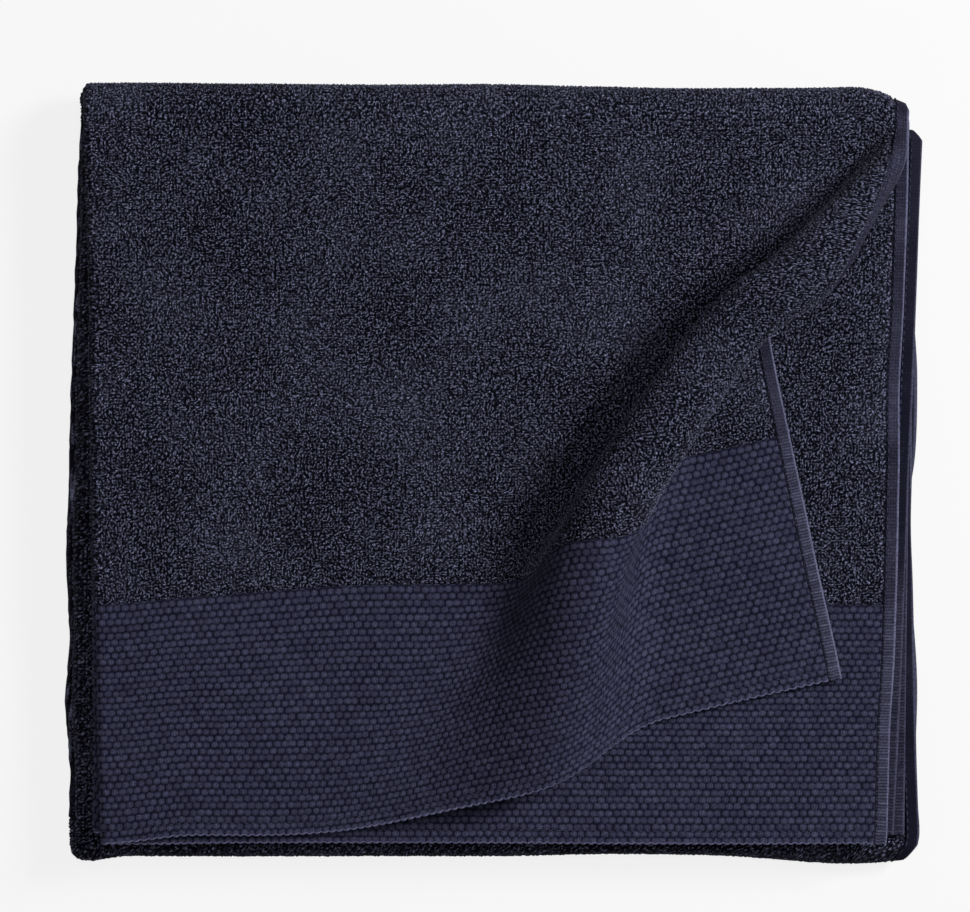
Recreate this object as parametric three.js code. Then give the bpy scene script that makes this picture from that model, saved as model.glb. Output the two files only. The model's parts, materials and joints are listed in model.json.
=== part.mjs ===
// A terry bath towel, folded once along its length and twice across it, with one corner of
// the top leaf drawn back so that a pleat stands up across it.
//
// Millimetres. +X runs from the lengthwise folds to the selvages, +Y from the hems to the
// back folds, +Z up. The origin is on the surface it lies on, under the middle of its box.
//
// The folded cloth is eight leaves deep. Leaf 1 lies at the bottom and leaf 8 on top:
//   leaves 8 and 7   the outer flap, from its end hem back to the outer back fold
//   leaves 6 and 5   the inner flap, from its end hem back to the inner back fold
//   leaves 4 to 1    the lower half, closed by the front fold
// Each pair of leaves is one width of towel doubled over at a lengthwise fold.
import * as THREE from 'three';

// Driving dimensions.
const TOWEL_WIDTH = 700;
const TOWEL_LENGTH = 1320;
const LEAF = 4.0; // thickness of the pile cloth as it lies in the stack
const GAP = 0.3; // between pieces that touch
const FOLD_GAP = 0.7; // between a leaf and a crosswise fold, whose slanting ends need more
const BORDER_DEPTH = 103; // the flat woven band between the pile and the end hem
const END_HEM = 7;
const SIDE_HEM = 6;
const HEM_CLOTH = 2.6; // thickness of the turned hems, which have no pile
const HEM_DROP = 0.4; // how far a hem's middle lies below the middle of its leaf
const THREAD_WIDTH = 0.8;
const THREAD_HEIGHT = 0.5;
const THREAD_INSET = 1.2; // from the hem's inner edge to the middle of its seam
const INNER_FOLD_SET = 8; // how far the inner back fold lies inside the outer one
const INNER_HEM_SET = 4; // how far the inner flap's hem lies behind the outer flap's
const TOP_HEM_SET = 4; // how far the top leaf's hem is drawn back by the outer fold
const FRONT_FOLD_SET = 1; // how far the front fold's axis lies in front of the hem
const MESH_STEP = 9; // grid of the curved top leaf

// The pleat. Widths are measured in the flat cloth, across the pleat.
const CORNER_DRAW = 71.3; // how far the free corner is drawn back
const PLEAT_HEADING = THREE.MathUtils.degToRad(41); // of its line, from the selvage
const PLEAT_HEIGHT = 40;
const PLEAT_HEIGHT_AT_HEM = 18;
const PLEAT_WIDTH_AT_CORNER = 24;
const PLEAT_WIDTH = 118;
const PLEAT_WIDTH_AT_HEM = 168;
const PLEAT_BOW = 9; // how far its line bows towards the lengthwise fold
const PLEAT_RISE_RUN = 99.5; // along the pleat, until it has its full height
const PLEAT_RISE_START = 0.12; // how far into that rise it is at the corner
const PLEAT_WIDEN_RUN = 96; // until it has its full width
const PLEAT_TAKE_RUN = 121; // until it takes up its full share of cloth
const PLEAT_SPREAD_RUN = 174; // over which it spreads out, halfway done at the border
const PLEAT_CORNER_INSET = 3; // of its start, from the selvage and behind the fold's axis
const TURN_CENTRE_SIDE = 46; // of the corner's turn, in from the lengthwise fold
const TURN_CENTRE_FRONT = 62; // and in front of the hem

// How far the edges of each leaf stray from a straight stack: left and right edge, each
// at the back fold and at the front.
const STRAY = {
  1: { left: [-5, -10], right: [3, 3] },
  2: { left: [-5, -10], right: [3, 4] },
  3: { left: [-4, -8], right: [2, 7] },
  4: { left: [-4, -8], right: [2, 8.5] },
  5: { left: [-1.7, 0], right: [6, 2] },
  6: { left: [-1.7, 0], right: [10, -2.8] },
  7: { left: [-3, 4], right: [3.4, -5.7] },
  8: { left: [-3, 4], right: [3.4, -5.7] },
};

// Worked out from them.
const LEAVES = 8;
const PITCH = LEAF + GAP;
const FOLDED_WIDTH = TOWEL_WIDTH / 2;
const FOLD_RADIUS = LEAF + GAP / 2; // outside of a single lengthwise fold
const STACK_AXIS_Z = (LEAVES / 2) * PITCH - GAP / 2; // height and radius of the back fold
const FRONT_AXIS_Z = (LEAVES / 4) * PITCH - GAP / 2; // height and radius of the front one
const LINING_RADIUS = 2.5 * PITCH; // of leaf 7 round the outer back fold, at its middle
const HEM_REACH = TOWEL_LENGTH / 4 - (Math.PI / 2) * LINING_RADIUS;
const FRONT_REACH = HEM_REACH + FRONT_FOLD_SET;
const BACK_Y = (FRONT_REACH + FRONT_AXIS_Z - STACK_AXIS_Z) / 2;
const FRONT_Y = BACK_Y - FRONT_REACH;
const PLEAT_TURN = Math.atan(CORNER_DRAW / (FOLDED_WIDTH - TURN_CENTRE_SIDE));

const NAMES = {
  1: 'bottom_leaf',
  2: 'second_leaf',
  3: 'third_leaf',
  4: 'fourth_leaf',
  5: 'fifth_leaf',
  6: 'sixth_leaf',
  7: 'seventh_leaf',
  8: 'top_leaf',
};

const FINISH = {
  terry: { color: 0x23243a, roughness: 0.96 },
  border: { color: 0x282a44, roughness: 0.9 },
  hem: { color: 0x2f3150, roughness: 0.88 },
  thread: { color: 0x34365a, roughness: 0.7 },
};

const towel = new THREE.Group();

function smooth(x) {
  return THREE.MathUtils.smoothstep(x, 0, 1);
}

function add(name, geometry, finish) {
  const material = new THREE.MeshStandardMaterial({ ...FINISH[finish], metalness: 0 });
  const mesh = new THREE.Mesh(geometry, material);
  mesh.name = name;
  towel.add(mesh);
  return mesh;
}

// Where a sheet's grid lines run from one edge to the other: evenly, or on a shared grid.
function evenly(from, to, steps) {
  return Array.from({ length: steps + 1 }, (_, i) => from + ((to - from) * i) / steps);
}

function onGrid(from, to) {
  const stops = [from];
  for (let k = Math.floor(from / MESH_STEP) + 1; k * MESH_STEP < to; k += 1) {
    if (k * MESH_STEP - from > 1 && to - k * MESH_STEP > 1) stops.push(k * MESH_STEP);
  }
  return [...stops, to];
}

// A closed sheet of even thickness. point(a, b) is its middle surface, which is met at the
// stops given for a and b, and lift moves the whole sheet along the surface's normal.
function sheetSolid(point, stopsA, stopsB, thickness, lift = 0) {
  const reach = 0.01;
  const normalAt = (a, b) => {
    const alongA = point(a + reach, b).sub(point(a - reach, b));
    const alongB = point(a, b + reach).sub(point(a, b - reach));
    return alongA.cross(alongB).normalize();
  };
  const positions = [];
  for (const side of [1, -1]) {
    for (const a of stopsA) {
      for (const b of stopsB) {
        const shift = lift + (side * thickness) / 2;
        positions.push(...point(a, b).addScaledVector(normalAt(a, b), shift).toArray());
      }
    }
  }
  const across = stopsB.length;
  const layer = stopsA.length * across;
  const lastA = stopsA.length - 1;
  const lastB = across - 1;
  const index = [];
  const quad = (p, q, r, s) => index.push(p, q, r, p, r, s);
  const at = (i, j) => i * across + j;
  for (let i = 0; i < lastA; i += 1) {
    for (let j = 0; j < lastB; j += 1) {
      const corners = [at(i, j), at(i + 1, j), at(i + 1, j + 1), at(i, j + 1)];
      quad(...corners);
      quad(...corners.map((corner) => corner + layer).reverse());
    }
  }
  for (let i = 0; i < lastA; i += 1) {
    quad(at(i, 0), layer + at(i, 0), layer + at(i + 1, 0), at(i + 1, 0));
    quad(at(i, lastB), at(i + 1, lastB), layer + at(i + 1, lastB), layer + at(i, lastB));
  }
  for (let j = 0; j < lastB; j += 1) {
    quad(at(0, j), at(0, j + 1), layer + at(0, j + 1), layer + at(0, j));
    quad(at(lastA, j), layer + at(lastA, j), layer + at(lastA, j + 1), at(lastA, j + 1));
  }
  const geometry = new THREE.BufferGeometry();
  geometry.setAttribute('position', new THREE.Float32BufferAttribute(positions, 3));
  geometry.setIndex(index);
  geometry.computeVertexNormals();
  return geometry;
}

// ---- Where each leaf lies ----

function leafMiddle(leaf) {
  return (leaf - 1) * PITCH + LEAF / 2;
}

function backEdge(leaf) {
  return leaf >= 3 && leaf <= 6 ? BACK_Y - INNER_FOLD_SET : BACK_Y;
}

function frontEdge(leaf) {
  if (leaf <= 4) return FRONT_Y;
  return leaf <= 6 ? BACK_Y - HEM_REACH + INNER_HEM_SET : BACK_Y - HEM_REACH;
}

// X of a leaf's left or right edge at depth v in front of the outer back fold's axis.
function edgeX(leaf, side, v) {
  const [back, front] = STRAY[leaf][side];
  const straight = side === 'left' ? -FOLDED_WIDTH / 2 : FOLDED_WIDTH / 2;
  return straight + THREE.MathUtils.lerp(back, front, v / HEM_REACH);
}

function stackPoint(leaf, u, v) {
  const left = edgeX(leaf, 'left', v);
  const right = edgeX(leaf, 'right', v);
  const x = left + (u / FOLDED_WIDTH) * (right - left);
  return new THREE.Vector3(x, BACK_Y - v, leafMiddle(leaf));
}

// ---- The pleat in the top leaf ----

const pleatStart = new THREE.Vector2(FOLDED_WIDTH - PLEAT_CORNER_INSET, -PLEAT_CORNER_INSET);
const pleatAlong = new THREE.Vector2(-Math.sin(PLEAT_HEADING), Math.cos(PLEAT_HEADING));
const pleatAcross = new THREE.Vector2(Math.cos(PLEAT_HEADING), Math.sin(PLEAT_HEADING));
const pleatRun = (HEM_REACH - BORDER_DEPTH) / Math.cos(PLEAT_HEADING);
const turnCentre = new THREE.Vector2(TURN_CENTRE_SIDE, HEM_REACH + TURN_CENTRE_FRONT);

// The top leaf's middle surface: u from the lengthwise fold, v from the back fold's axis,
// both measured in the flat cloth.
function topLeafPoint(u, v) {
  const flat = new THREE.Vector2(u, v);
  const out = flat.clone().sub(pleatStart);
  const along = out.dot(pleatAlong); // from the corner, to pleatRun at the border
  const bow = PLEAT_BOW * Math.sin(Math.PI * THREE.MathUtils.clamp(along / pleatRun, 0, 1));
  const spread = smooth((along - pleatRun) / PLEAT_SPREAD_RUN + 0.5);
  const width =
    PLEAT_WIDTH_AT_CORNER +
    (PLEAT_WIDTH - PLEAT_WIDTH_AT_CORNER) * smooth(along / PLEAT_WIDEN_RUN) +
    (PLEAT_WIDTH_AT_HEM - PLEAT_WIDTH) * spread;
  const height =
    PLEAT_HEIGHT * smooth(along / PLEAT_RISE_RUN + PLEAT_RISE_START) -
    (PLEAT_HEIGHT - PLEAT_HEIGHT_AT_HEM) * spread;
  const share = THREE.MathUtils.clamp((out.dot(pleatAcross) + bow) / width, 0, 1);
  const tuck = 1 - 0.6 * spread;
  const moved = share - (tuck * Math.sin(4 * Math.PI * share)) / (4 * Math.PI);
  const crest = Math.sin(Math.PI * share ** (1 + 0.5 * spread)) ** 2;
  const arm = flat.clone().sub(turnCentre);
  const turned = arm.clone().rotateAround(new THREE.Vector2(), -PLEAT_TURN).sub(arm);
  const place = flat.addScaledVector(turned, moved * smooth(along / PLEAT_TAKE_RUN));
  const drawnBack = TOP_HEM_SET * smooth(u / 45) * (v / HEM_REACH) ** 2;
  const point = stackPoint(8, place.x, place.y - drawnBack);
  point.z += height * crest;
  return point;
}

// ---- Leaves ----

// A strip of a leaf on the given stops of u and v. v is negated so that the sheet's normal
// points up.
function strip(leaf, stopsU, stopsV, thickness, lift = 0) {
  const surface = leaf === LEAVES ? topLeafPoint : (u, v) => stackPoint(leaf, u, v);
  const stopsBack = stopsV.map((v) => -v).reverse();
  return sheetSolid((u, back) => surface(u, -back), stopsU, stopsBack, thickness, lift);
}

function stops(leaf, from, to) {
  return leaf === LEAVES ? onGrid(from, to) : [from, to];
}

const threadLift = -HEM_DROP + HEM_CLOTH / 2 + GAP + THREAD_HEIGHT / 2;

// The turned hem and its seam. across holds the stops over the hem's width, in which the
// middle two are the seam thread's edges, and along the stops over its length.
function addHem(leaf, name, across, along, acrossIsU) {
  const order = (first, second) => (acrossIsU ? [first, second] : [second, first]);
  const [hemU, hemV] = order(across, along);
  const [threadU, threadV] = order(across.slice(1, 3), along.slice(1, -1));
  const title = `${NAMES[leaf]}_${name}`;
  add(`${title}_hem`, strip(leaf, hemU, hemV, HEM_CLOTH, -HEM_DROP), 'hem');
  add(`${title}_seam_thread`, strip(leaf, threadU, threadV, THREAD_HEIGHT, threadLift), 'thread');
}

function seamStops(inner, outer) {
  const seam = inner + THREAD_INSET;
  return [inner, seam - THREAD_WIDTH / 2, seam + THREAD_WIDTH / 2, outer];
}

// Over a hem's length: between joins, which are the stops of the cloth beside it.
function lengthStops(from, to, joins) {
  const inner = joins.filter((stop) => stop > from + THREAD_INSET && stop < to - THREAD_INSET);
  return [from, from + THREAD_INSET, ...inner, to - THREAD_INSET, to];
}

function addLeaf(leaf) {
  const u0 = FOLD_RADIUS + GAP;
  const hemU = FOLDED_WIDTH - SIDE_HEM;
  const u1 = hemU - GAP;
  const v0 = BACK_Y - backEdge(leaf) + FOLD_GAP / 2;
  const hasBorder = leaf > LEAVES / 2;
  const v1 = BACK_Y - frontEdge(leaf) - (hasBorder ? 0 : FOLD_GAP / 2);
  const hemV = v1 - END_HEM;
  const borderV = hemV - GAP - BORDER_DEPTH;
  const pileV = hasBorder ? borderV - GAP : v1;
  const stopsU = stops(leaf, u0, u1);
  const pileStops = stops(leaf, v0, pileV);
  const borderStops = hasBorder ? stops(leaf, borderV, hemV - GAP) : [];
  add(`${NAMES[leaf]}_terry`, strip(leaf, stopsU, pileStops, LEAF), 'terry');
  if (hasBorder) {
    add(`${NAMES[leaf]}_border`, strip(leaf, stopsU, borderStops, LEAF), 'border');
    addHem(leaf, 'end', seamStops(hemV, v1), lengthStops(u0, u1, stopsU), false);
  }
  const sideJoins = leaf === LEAVES ? [...pileStops, ...borderStops, hemV] : [];
  addHem(leaf, 'side', seamStops(hemU, FOLDED_WIDTH), lengthStops(v0, v1, sideJoins), true);
}

// ---- Folds ----

// The lengthwise fold that joins a leaf to the one above it, between depths v0 and v1.
function sideFold(lower, v0, v1) {
  const axisZ = leafMiddle(lower) + PITCH / 2;
  const point = (v, angle) => {
    const x = edgeX(lower, 'left', v) + FOLD_RADIUS + (PITCH / 2) * Math.cos(angle);
    return new THREE.Vector3(x, BACK_Y - v, axisZ + (PITCH / 2) * Math.sin(angle));
  };
  return sheetSolid(point, [v0, v1], evenly(Math.PI / 2, (3 * Math.PI) / 2, 8), LEAF);
}

function addSideFolds(name, lower) {
  const v0 = BACK_Y - backEdge(lower) + FOLD_GAP / 2;
  const v1 = BACK_Y - frontEdge(lower);
  if (lower < LEAVES / 2) {
    add(`${name}_side_fold`, sideFold(lower, v0, v1 - FOLD_GAP / 2), 'terry');
    return;
  }
  const borderV = v1 - END_HEM - GAP - BORDER_DEPTH;
  add(`${name}_side_fold`, sideFold(lower, v0, borderV - GAP), 'terry');
  add(`${name}_border_fold`, sideFold(lower, borderV, v1), 'border');
}

// A crosswise fold of a doubled width of cloth. It joins the outside leaves and the inside
// leaves, each given as [lower, upper], and side is 1 at the back and -1 at the front.
function addCrossFold(name, outside, inside, side, axisY, axisZ) {
  const v = BACK_Y - axisY;
  const edge = ([lower, upper], key, angle) =>
    THREE.MathUtils.lerp(edgeX(lower, key, v), edgeX(upper, key, v), angle / Math.PI + 0.5);
  const onArc = (x, radius, angle) => {
    const y = axisY + side * (radius * Math.cos(angle) + FOLD_GAP / 2);
    return new THREE.Vector3(x, y, axisZ + radius * Math.sin(angle));
  };
  const radiusOf = ([lower, upper]) => (leafMiddle(upper) - leafMiddle(lower)) / 2;
  const steps = 6 + 2 * Math.round(radiusOf(outside) / 5);
  const angles = evenly(-Math.PI / 2, Math.PI / 2, steps);
  const layers = { outside, inside };
  for (const [title, leaves] of Object.entries(layers)) {
    const cloth = (share, angle) => {
      const from = edge(leaves, 'left', angle) + FOLD_RADIUS + GAP;
      const to = edge(leaves, 'right', angle) - SIDE_HEM - GAP;
      return onArc(THREE.MathUtils.lerp(from, to, share), radiusOf(leaves), angle);
    };
    const hem = (offset, angle) =>
      onArc(edge(leaves, 'right', angle) + offset, radiusOf(leaves), angle);
    add(`${name}_${title}`, sheetSolid(cloth, [0, 1], angles, LEAF), 'terry');
    add(`${name}_${title}_hem`, sheetSolid(hem, [-SIDE_HEM, 0], angles, HEM_CLOTH), 'hem');
  }
  const middle = (radiusOf(outside) + radiusOf(inside)) / 2;
  const corner = (turn, angle) => {
    const x = edge(outside, 'left', angle) + FOLD_RADIUS + (PITCH / 2) * Math.cos(turn);
    return onArc(x, middle + (PITCH / 2) * Math.sin(turn), angle);
  };
  const turns = evenly(Math.PI / 2, (3 * Math.PI) / 2, 8);
  add(`${name}_corner`, sheetSolid(corner, turns, angles, LEAF), 'terry');
}

for (let leaf = 1; leaf <= LEAVES; leaf += 1) addLeaf(leaf);
addSideFolds('bottom_pair', 1);
addSideFolds('middle_pair', 3);
addSideFolds('inner_flap', 5);
addSideFolds('outer_flap', 7);
addCrossFold('outer_back_fold', [1, 8], [2, 7], 1, BACK_Y, STACK_AXIS_Z);
addCrossFold('inner_back_fold', [3, 6], [4, 5], 1, BACK_Y - INNER_FOLD_SET, STACK_AXIS_Z);
addCrossFold('front_fold', [1, 4], [2, 3], -1, FRONT_Y, FRONT_AXIS_Z);

export default towel;
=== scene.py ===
"""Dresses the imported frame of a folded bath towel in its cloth.

The towel is one length of cloth, doubled over at a lengthwise fold and then folded twice across.
Every piece is made in the cloth's own coordinates and laid along the folded path by one mapping:
w runs across the cloth from the lengthwise fold, negative in the lining layer, and s runs along
it from the outer flap's hem to the inner flap's. All lengths are in metres.
"""

import json
import math

import bpy
import numpy as np
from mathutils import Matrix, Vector


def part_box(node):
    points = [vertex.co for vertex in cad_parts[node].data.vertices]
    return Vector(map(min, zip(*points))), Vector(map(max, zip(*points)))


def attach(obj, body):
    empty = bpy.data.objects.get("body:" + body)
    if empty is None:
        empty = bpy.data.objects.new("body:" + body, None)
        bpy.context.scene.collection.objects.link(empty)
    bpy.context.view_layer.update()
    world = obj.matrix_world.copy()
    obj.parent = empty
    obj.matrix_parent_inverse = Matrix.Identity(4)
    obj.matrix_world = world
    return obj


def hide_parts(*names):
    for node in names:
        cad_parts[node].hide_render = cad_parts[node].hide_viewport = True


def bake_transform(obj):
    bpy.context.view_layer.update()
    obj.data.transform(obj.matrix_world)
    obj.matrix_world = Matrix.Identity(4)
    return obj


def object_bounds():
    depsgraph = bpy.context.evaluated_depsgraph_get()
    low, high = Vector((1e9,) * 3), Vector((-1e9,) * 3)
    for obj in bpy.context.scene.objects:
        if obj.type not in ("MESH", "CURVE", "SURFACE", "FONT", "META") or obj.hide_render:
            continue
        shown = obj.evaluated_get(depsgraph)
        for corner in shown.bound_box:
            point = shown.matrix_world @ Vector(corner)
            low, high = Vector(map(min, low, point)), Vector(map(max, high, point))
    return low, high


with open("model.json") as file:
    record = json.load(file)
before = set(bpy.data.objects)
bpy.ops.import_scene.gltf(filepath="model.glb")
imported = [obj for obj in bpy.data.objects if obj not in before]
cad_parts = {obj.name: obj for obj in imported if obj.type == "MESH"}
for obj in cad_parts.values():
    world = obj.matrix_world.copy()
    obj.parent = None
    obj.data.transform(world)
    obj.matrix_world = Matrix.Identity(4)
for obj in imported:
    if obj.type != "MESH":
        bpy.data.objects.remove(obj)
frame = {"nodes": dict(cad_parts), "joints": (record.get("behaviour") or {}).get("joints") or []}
cad_low, cad_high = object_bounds()

bl_info = {
    "name": "Folded Terry Towel",
    "version": (1, 0, 0),
    "blender": (4, 5, 0),
    "location": "3D View > Sidebar > Towel",
    "description": "Lays the woven cloth of a folded bath towel over its packed frame",
    "category": "Add Mesh",
}

MM = 0.001

# ---- Sizes and places that the frame gives ----

LEAF_NAMES = ("bottom", "second", "third", "fourth", "fifth", "sixth", "seventh", "top")


def node_points(*names):
    return np.array([v.co for name in names for v in frame["nodes"][name].data.vertices])


def between(low_node, high_node):
    """Y halfway between the node in front and the node behind it."""
    return (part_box(low_node)[1].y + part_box(high_node)[0].y) / 2


def edge_line(names, pick):
    """A leaf's straight edge as its two ends (y, x), where pick is np.max or np.min of x."""
    points = node_points(*names)
    ends = []
    for y in (points[:, 1].max(), points[:, 1].min()):
        ends.append((y, pick(points[np.abs(points[:, 1] - y) < 0.1 * MM, 0])))
    return ends


def edge_x(line, y):
    """The x of an edge line at y."""
    (back_y, back_x), (front_y, front_x) = line
    return back_x + (front_x - back_x) * (back_y - y) / (back_y - front_y)


HINGE = frame["joints"][0]["pos_m"]
BACK_Y, AXIS_Z = HINGE[1], HINGE[2]
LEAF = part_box("bottom_leaf_terry")[1].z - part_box("bottom_leaf_terry")[0].z
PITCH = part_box("second_leaf_terry")[0].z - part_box("bottom_leaf_terry")[0].z
HALF_PITCH = PITCH / 2
FOLD_EDGE = LEAF / 2 + HALF_PITCH  # from the outside of a lengthwise fold to its axis
FRONT_Y = between("front_fold_outside", "bottom_leaf_terry")
FRONT_Z = sum(corner.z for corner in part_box("front_fold_outside")) / 2
INNER_Y = between("fifth_leaf_terry", "inner_back_fold_inside")
HEM_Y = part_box("seventh_leaf_end_hem")[0].y
INNER_HEM_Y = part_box("fifth_leaf_end_hem")[0].y
END_HEM = between("seventh_leaf_end_hem", "seventh_leaf_border") - HEM_Y
BORDER_END = between("seventh_leaf_border", "seventh_leaf_terry") - HEM_Y
REACH = BACK_Y - HEM_Y
FOLDED_WIDTH = 350 * MM
SIDE_HEM = 6 * MM
CLOTH_EDGE = FOLDED_WIDTH - SIDE_HEM
BEND = HALF_PITCH * math.pi / 2  # cloth taken by half of a lengthwise fold

RIGHT = {n: edge_line([f"{n}_leaf_side_hem"], np.max) for n in LEAF_NAMES if n != "top"}
RIGHT["top"] = RIGHT["seventh"]
LEFT = {
    "bottom": edge_line(["bottom_pair_side_fold"], np.min),
    "middle": edge_line(["middle_pair_side_fold"], np.min),
    "inner": edge_line(["inner_flap_side_fold", "inner_flap_border_fold"], np.min),
    "outer": edge_line(["outer_flap_side_fold", "outer_flap_border_fold"], np.min),
}

# The pleat across the top leaf. Widths are in the flat cloth, across the pleat.
CORNER_DRAW = 71.3 * MM
PLEAT_HEADING = math.radians(41)
PLEAT_HEIGHT = 40 * MM
PLEAT_HEIGHT_AT_HEM = 18 * MM
PLEAT_WIDTH_AT_CORNER = 24 * MM
PLEAT_WIDTH = 118 * MM
PLEAT_WIDTH_AT_HEM = 168 * MM
PLEAT_BOW = 9 * MM
PLEAT_GATHER = 1.2  # how tightly the cloth is gathered into the ridge
PLEAT_GATHER_AT_HEM = 0.4
PLEAT_RISE_RUN = 99.5 * MM
PLEAT_RISE_START = 0.24
PLEAT_WIDEN_RUN = 96 * MM
PLEAT_TAKE_RUN = 121 * MM
PLEAT_SPREAD_RUN = 174 * MM
PLEAT_CORNER_INSET = 3 * MM
TURN_CENTRE = (46 * MM, REACH + 62 * MM)
PLEAT_TURN = math.atan(CORNER_DRAW / (FOLDED_WIDTH - TURN_CENTRE[0]))
PLEAT_RUN = (REACH - (BORDER_END - END_HEM)) / math.cos(PLEAT_HEADING)
TOP_HEM_SET = 4 * MM  # how far the top leaf's hem lies behind the seventh's
TOP_HEM_SET_RUN = 45 * MM


# ---- Numbers that repeat without a pattern, the same on each run ----

def smooth(x):
    """A soft step from 0 at x = 0 to 1 at x = 1."""
    x = np.clip(x, 0, 1)
    return x * x * (3 - 2 * x)


def scatter(i, j, salt):
    """A number from 0 to 1 for each place of a lattice."""
    mixed = np.sin(i * 127.1 + j * 311.7 + salt * 74.7) * 43758.5453
    return mixed - np.floor(mixed)


def drift(x, y, salt):
    """A smooth wander from -1 to 1, one lattice step per unit of x and y."""
    i, j = np.floor(x), np.floor(y)
    a, b = smooth(x - i), smooth(y - j)
    low = scatter(i, j, salt) * (1 - a) + scatter(i + 1, j, salt) * a
    high = scatter(i, j + 1, salt) * (1 - a) + scatter(i + 1, j + 1, salt) * a
    return 2 * (low * (1 - b) + high * b) - 1


# ---- The folded path of the doubled cloth ----

def lay_path():
    """The middle of the doubled cloth along s: its place in y and z, the direction of its outer
    layer, and the x of its left edge and of its outer and lining layers' right edges.
    Returns s, those columns, and s where each stretch ends."""
    rows, ends = [], []
    turn = np.linspace(-math.pi / 2, math.pi / 2, 61)

    def line(y0, y1, z, up, left, outer, lining):
        for y in np.linspace(y0, y1, 40):
            rows.append((y, z, 0, up, edge_x(left, y), edge_x(outer, y), edge_x(lining, y)))
        ends.append(len(rows) - 1)

    def arc(y, z, radius, side, swing, outward, pairs):
        for angle in swing:
            share = (angle - swing[0]) / (swing[-1] - swing[0])
            edges = [edge_x(a, y) * (1 - share) + edge_x(b, y) * share for a, b in pairs]
            ny, nz = side * math.cos(angle), math.sin(angle)
            rows.append((y + radius * ny, z + radius * nz, outward * ny, outward * nz, *edges))
        ends.append(len(rows) - 1)

    def joined(left, outer, lining):
        """The edges before and after a fold."""
        return [
            (LEFT[left[0]], LEFT[left[1]]),
            (RIGHT[outer[0]], RIGHT[outer[1]]),
            (RIGHT[lining[0]], RIGHT[lining[1]]),
        ]

    high, low = 3 * PITCH, PITCH
    line(HEM_Y, BACK_Y, AXIS_Z + high, 1, LEFT["outer"], RIGHT["top"], RIGHT["seventh"])
    edges = joined(("outer", "bottom"), ("top", "bottom"), ("seventh", "second"))
    arc(BACK_Y, AXIS_Z, high, 1, -turn, 1, edges)
    line(BACK_Y, FRONT_Y, AXIS_Z - high, -1, LEFT["bottom"], RIGHT["bottom"], RIGHT["second"])
    edges = joined(("bottom", "middle"), ("bottom", "fourth"), ("second", "third"))
    arc(FRONT_Y, FRONT_Z, low, -1, turn, 1, edges)
    line(FRONT_Y, INNER_Y, AXIS_Z - low, 1, LEFT["middle"], RIGHT["fourth"], RIGHT["third"])
    edges = joined(("middle", "inner"), ("fourth", "fifth"), ("third", "sixth"))
    arc(INNER_Y, AXIS_Z, low, 1, turn, -1, edges)
    line(INNER_Y, INNER_HEM_Y, AXIS_Z + low, -1, LEFT["inner"], RIGHT["fifth"], RIGHT["sixth"])
    table = np.array(rows)
    steps = np.hypot(np.diff(table[:, 0]), np.diff(table[:, 1]))
    along = np.concatenate([[0], np.cumsum(steps)])
    return along, table, along[ends]


PATH_S, PATH, STRETCHES = lay_path()
S_BACK, S_LOWER, S_FRONT, S_UPPER, S_INNER, S_INNER_FLAP, S_END = STRETCHES
S_APEX = (S_BACK + S_LOWER) / 2


def folded(w, s):
    """The middle of the cloth and the direction of its face, as folded, before the pleat."""
    y, z, ny, nz, left, right_outer, right_lining = (
        np.interp(s, PATH_S, column) for column in PATH.T
    )
    bend = np.clip(w / HALF_PITCH, -math.pi / 2, math.pi / 2)
    share = np.sin(bend)
    beyond = np.maximum(np.abs(w) - BEND, 0) / (FOLDED_WIDTH - BEND)
    right = np.where(w > 0, right_outer, right_lining)
    x = left + FOLD_EDGE - HALF_PITCH * np.cos(bend) + beyond * (right - left - FOLD_EDGE)
    point = np.stack([x, y + ny * HALF_PITCH * share, z + nz * HALF_PITCH * share], -1)
    return point, np.stack([-np.cos(bend), ny * share, nz * share], -1)


def pleated(u, v):
    """The top leaf's middle, with its pleat: u from the lengthwise fold, v from the back fold."""
    out_u, out_v = u - (FOLDED_WIDTH - PLEAT_CORNER_INSET), v + PLEAT_CORNER_INSET
    along = out_v * math.cos(PLEAT_HEADING) - out_u * math.sin(PLEAT_HEADING)
    bow = PLEAT_BOW * np.sin(math.pi * np.clip(along / PLEAT_RUN, 0, 1))
    across = out_u * math.cos(PLEAT_HEADING) + out_v * math.sin(PLEAT_HEADING) + bow
    spread = smooth((along - PLEAT_RUN) / PLEAT_SPREAD_RUN + 0.5)
    width = PLEAT_WIDTH_AT_CORNER + (PLEAT_WIDTH_AT_HEM - PLEAT_WIDTH) * spread
    width += (PLEAT_WIDTH - PLEAT_WIDTH_AT_CORNER) * smooth(along / PLEAT_WIDEN_RUN)
    height = PLEAT_HEIGHT * smooth(along / PLEAT_RISE_RUN + PLEAT_RISE_START)
    height = (height - (PLEAT_HEIGHT - PLEAT_HEIGHT_AT_HEM) * spread) * smooth(v / SIDE_HEM)
    share = np.clip(across / width, 0, 1)
    gather = PLEAT_GATHER - (PLEAT_GATHER - PLEAT_GATHER_AT_HEM) * spread
    moved = share - gather * np.sin(4 * math.pi * share) / (4 * math.pi)
    moved *= smooth(along / PLEAT_TAKE_RUN)
    crest = np.sin(math.pi * share ** (1 + 0.5 * spread)) ** 2
    arm_u, arm_v = u - TURN_CENTRE[0], v - TURN_CENTRE[1]
    cos, sin = math.cos(PLEAT_TURN), math.sin(PLEAT_TURN)
    drawn_back = TOP_HEM_SET * smooth(u / TOP_HEM_SET_RUN) * (v / REACH) ** 2
    u_laid = u + moved * (cos * arm_u + sin * arm_v - arm_u)
    y = BACK_Y - v - moved * (cos * arm_v - sin * arm_u - arm_v) + drawn_back
    left, right = edge_x(LEFT["outer"], y), edge_x(RIGHT["top"], y)
    x = left + u_laid / FOLDED_WIDTH * (right - left)
    return np.stack([x, y, AXIS_Z + 3.5 * PITCH + height * crest], -1)


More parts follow.
